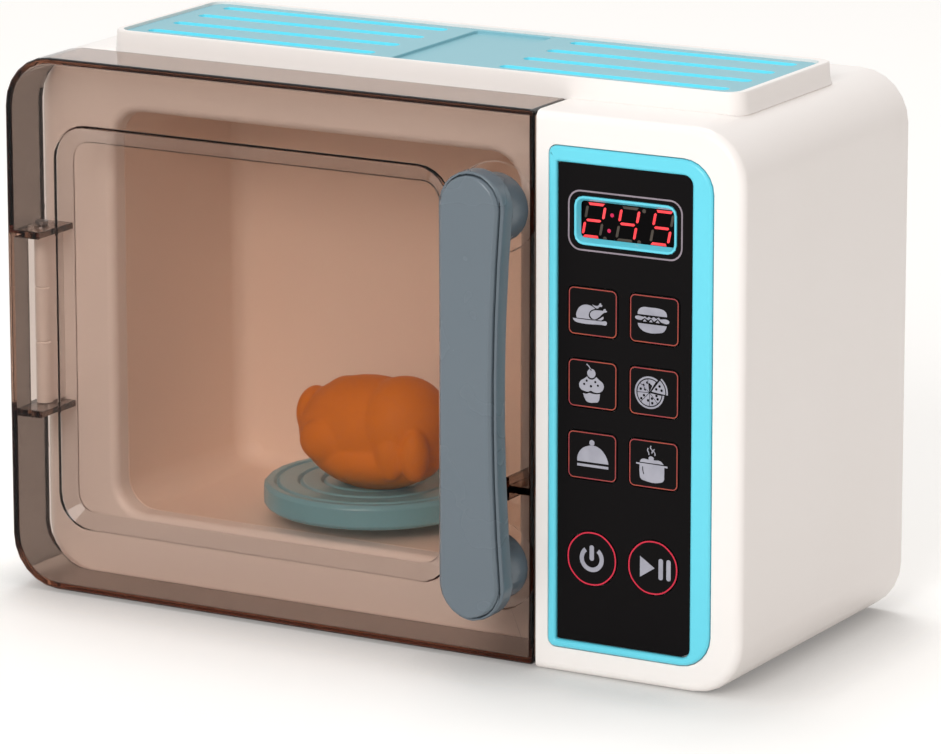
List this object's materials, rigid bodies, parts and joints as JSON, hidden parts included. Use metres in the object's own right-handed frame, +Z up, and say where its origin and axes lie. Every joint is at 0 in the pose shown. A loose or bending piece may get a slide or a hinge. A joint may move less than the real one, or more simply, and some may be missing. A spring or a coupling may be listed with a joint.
{
  "type": "toy microwave oven",
  "caption": "Toy microwave oven with a smoked swinging door, a bow handle, sprung keys, a lit display and a geared turntable that carries a toy roast chicken.",
  "frame": {"origin": "centre of the flat base of the housing, between its left and right sides and its front and back", "axes": "+X to the right seen from the door, +Y from the door to the back, +Z up"},
  "size_m": [0.26, 0.1318, 0.1791],
  "materials": {
    "white_plastic": "satin",
    "cream_plastic": "satin",
    "blue_plastic": "satin",
    "smoked_plastic": "clear, smoked brown",
    "grey_plastic": "satin",
    "black_plastic": "gloss",
    "teal_plastic": "satin",
    "orange_vinyl": "soft vinyl",
    "nylon": "matt",
    "steel": "plain",
    "board": "matt",
    "silicone": "matt",
    "cell": "printed jacket"
  },
  "bodies": {
    "housing": {"body_shell": "white_plastic", "top_vent_panel": "blue_plastic", "cavity_liner": "cream_plastic", "hinge_pin": "steel", "latch_catch": "steel", "spindle_bush": "nylon", "idler_axle": "steel", "gear_motor": "nylon", "control_bezel": "blue_plastic", "control_overlay": "black_plastic", "display_bezel": "blue_plastic", "display_window": "black_plastic", "display_module": "black_plastic", "keypad_mat": "silicone", "circuit_board": "board", "speaker": "steel", "rear_cover": "white_plastic", "rear_screw_1": "steel", "rear_screw_2": "steel", "rear_screw_3": "steel", "rear_screw_4": "steel", "rear_screw_5": "steel", "rear_screw_6": "steel", "battery_door": "white_plastic", "battery_door_screw": "steel", "battery_1": "cell", "battery_2": "cell", "battery_3": "cell", "contact_left": "steel", "contact_right": "steel"},
    "door": {"door_shell": "smoked_plastic", "handle_back": "grey_plastic", "handle_cover": "grey_plastic", "handle_screw_lower": "steel", "handle_screw_upper": "steel"},
    "turntable": {"turntable_plate": "teal_plastic", "turntable_spindle": "nylon", "turntable_gear": "nylon", "play_food": "orange_vinyl"},
    "idler": {"idler_gear": "nylon"},
    "pinion": {"drive_pinion": "nylon"},
    "roast_key": {"key_roast": "black_plastic"},
    "burger_key": {"key_burger": "black_plastic"},
    "cupcake_key": {"key_cupcake": "black_plastic"},
    "pizza_key": {"key_pizza": "black_plastic"},
    "cloche_key": {"key_cloche": "black_plastic"},
    "pot_key": {"key_pot": "black_plastic"},
    "power_key": {"key_power": "black_plastic"},
    "play_key": {"key_play": "black_plastic"}
  },
  "joints": [
    {"name": "door_swing", "type": "hinge", "parent": "housing", "child": "door", "pos_m": [-0.125, -0.0425, 0.086], "axis": [0, 0, -1], "range_deg": [0, 100]},
    {"name": "turntable_spin", "type": "hinge", "parent": "housing", "child": "turntable", "pos_m": [-0.028, -0.001, 0.0165], "axis": [0, 0, 1], "continuous": true},
    {"name": "idler_spin", "type": "hinge", "parent": "housing", "child": "idler", "pos_m": [0.014, -0.001, 0.0165], "axis": [0, 0, 1], "continuous": true},
    {"name": "pinion_spin", "type": "hinge", "parent": "housing", "child": "pinion", "pos_m": [0.014, 0.023, 0.0165], "axis": [0, 0, 1], "continuous": true},
    {"name": "roast_press", "type": "slide", "parent": "housing", "child": "roast_key", "axis": [0, 1, 0], "range_m": [0, 0.001], "stiffness_N_per_m": 400},
    {"name": "burger_press", "type": "slide", "parent": "housing", "child": "burger_key", "axis": [0, 1, 0], "range_m": [0, 0.001], "stiffness_N_per_m": 400},
    {"name": "cupcake_press", "type": "slide", "parent": "housing", "child": "cupcake_key", "axis": [0, 1, 0], "range_m": [0, 0.001], "stiffness_N_per_m": 400},
    {"name": "pizza_press", "type": "slide", "parent": "housing", "child": "pizza_key", "axis": [0, 1, 0], "range_m": [0, 0.001], "stiffness_N_per_m": 400},
    {"name": "cloche_press", "type": "slide", "parent": "housing", "child": "cloche_key", "axis": [0, 1, 0], "range_m": [0, 0.001], "stiffness_N_per_m": 400},
    {"name": "pot_press", "type": "slide", "parent": "housing", "child": "pot_key", "axis": [0, 1, 0], "range_m": [0, 0.001], "stiffness_N_per_m": 400},
    {"name": "power_press", "type": "slide", "parent": "housing", "child": "power_key", "axis": [0, 1, 0], "range_m": [0, 0.001], "stiffness_N_per_m": 400},
    {"name": "play_press", "type": "slide", "parent": "housing", "child": "play_key", "axis": [0, 1, 0], "range_m": [0, 0.001], "stiffness_N_per_m": 400}
  ],
  "couplings": [
    {"joint": "idler_spin", "follows": "turntable_spin", "ratio": -1.3333},
    {"joint": "pinion_spin", "follows": "turntable_spin", "ratio": 4}
  ]
}
